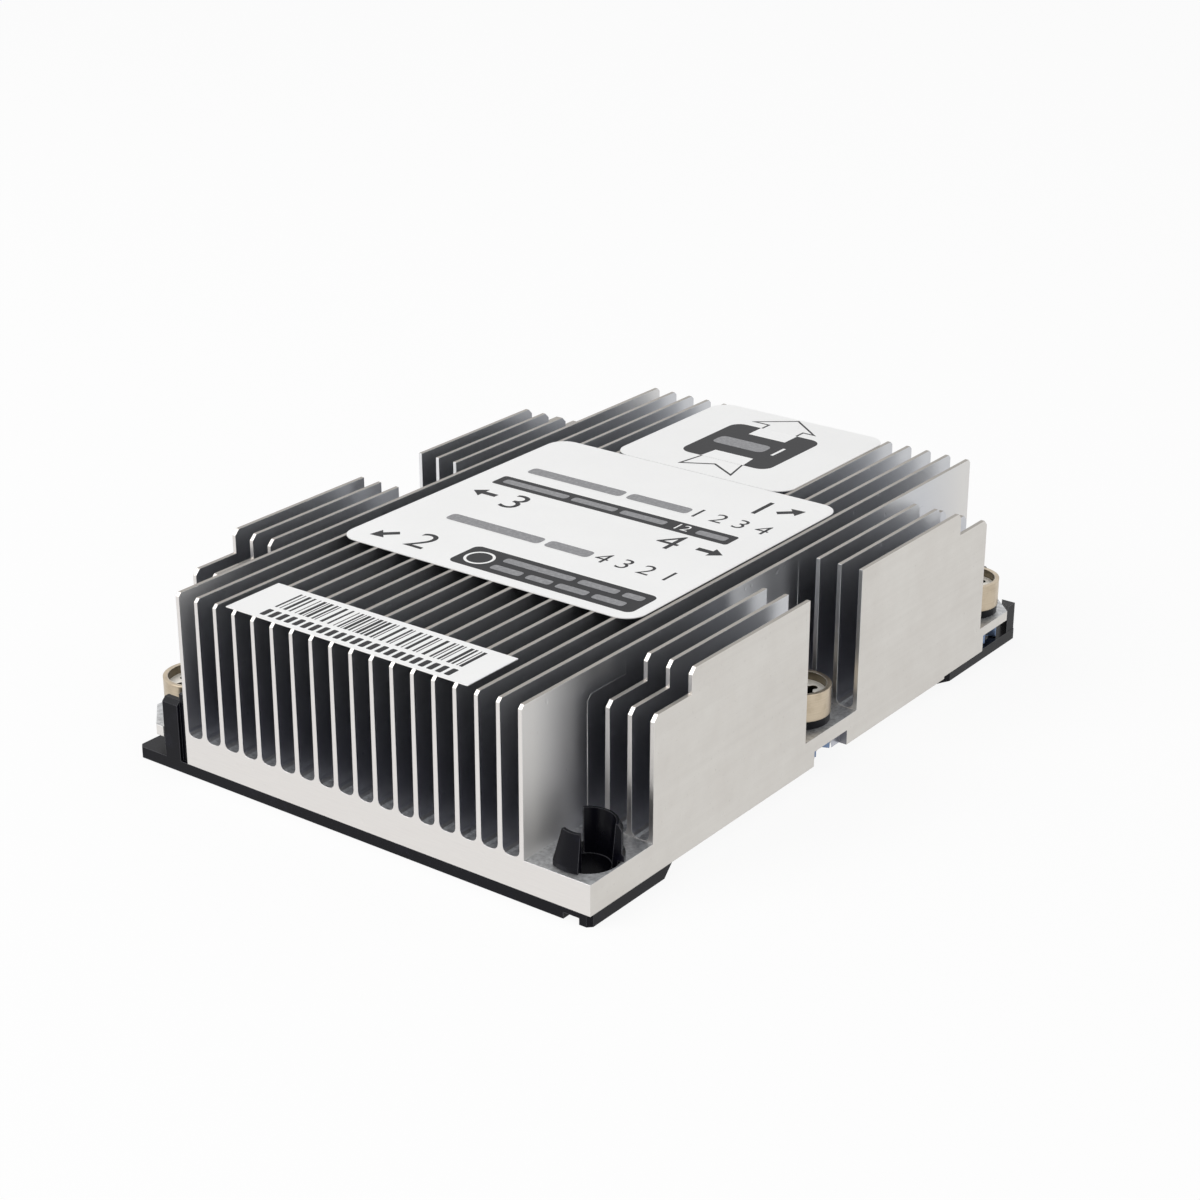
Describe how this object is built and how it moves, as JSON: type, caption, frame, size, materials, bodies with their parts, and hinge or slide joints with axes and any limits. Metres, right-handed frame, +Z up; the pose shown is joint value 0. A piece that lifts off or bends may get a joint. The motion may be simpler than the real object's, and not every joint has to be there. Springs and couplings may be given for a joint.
{
  "type": "passive server cpu heatsink",
  "caption": "Low passive aluminium heatsink for a server processor: straight fins on a milled base, captive star-socket nuts, a moulded carrier frame and paper labels.",
  "frame": {"origin": "centre of the carrier's underside, the plane that the part stands on", "axes": "+X across the fins, +Y along the fins from front to rear, +Z up from the base to the fin tips"},
  "size_m": [0.078, 0.108, 0.0268],
  "materials": {
    "extruded_aluminium": "mill finish, lightly brushed",
    "carrier_plastic": "fine moulded texture",
    "nickel_steel": "turned, dull warm nickel plate",
    "washer_plastic": "smooth black",
    "zinc_steel": "blue zinc plate",
    "label_paper": "coated white label stock",
    "thermal_compound": "dull grey compound"
  },
  "bodies": {
    "heatsink": {"fin_body": "extruded_aluminium", "carrier_frame": "carrier_plastic", "washer_front_left": "washer_plastic", "washer_rear_right": "washer_plastic", "washer_middle_left": "washer_plastic", "washer_middle_right": "washer_plastic", "label_tightening_steps": "label_paper", "label_airflow": "label_paper", "label_code": "label_paper", "thermal_pad": "thermal_compound"},
    "captive_nut_front_left": {"nut_front_left": "nickel_steel", "retaining_ring_front_left": "zinc_steel"},
    "captive_nut_rear_right": {"nut_rear_right": "nickel_steel", "retaining_ring_rear_right": "zinc_steel"},
    "captive_nut_middle_left": {"nut_middle_left": "nickel_steel", "retaining_ring_middle_left": "zinc_steel"},
    "captive_nut_middle_right": {"nut_middle_right": "nickel_steel", "retaining_ring_middle_right": "zinc_steel"}
  },
  "joints": [
    {"name": "nut_turn_front_left", "type": "hinge", "parent": "heatsink", "child": "captive_nut_front_left", "pos_m": [-0.0336, -0.047, 0.008], "axis": [0, 0, 1], "continuous": true},
    {"name": "nut_turn_rear_right", "type": "hinge", "parent": "heatsink", "child": "captive_nut_rear_right", "pos_m": [0.0336, 0.047, 0.008], "axis": [0, 0, 1], "continuous": true},
    {"name": "nut_turn_middle_left", "type": "hinge", "parent": "heatsink", "child": "captive_nut_middle_left", "pos_m": [-0.0336, 0, 0.008], "axis": [0, 0, 1], "continuous": true},
    {"name": "nut_turn_middle_right", "type": "hinge", "parent": "heatsink", "child": "captive_nut_middle_right", "pos_m": [0.0336, 0, 0.008], "axis": [0, 0, 1], "continuous": true}
  ]
}
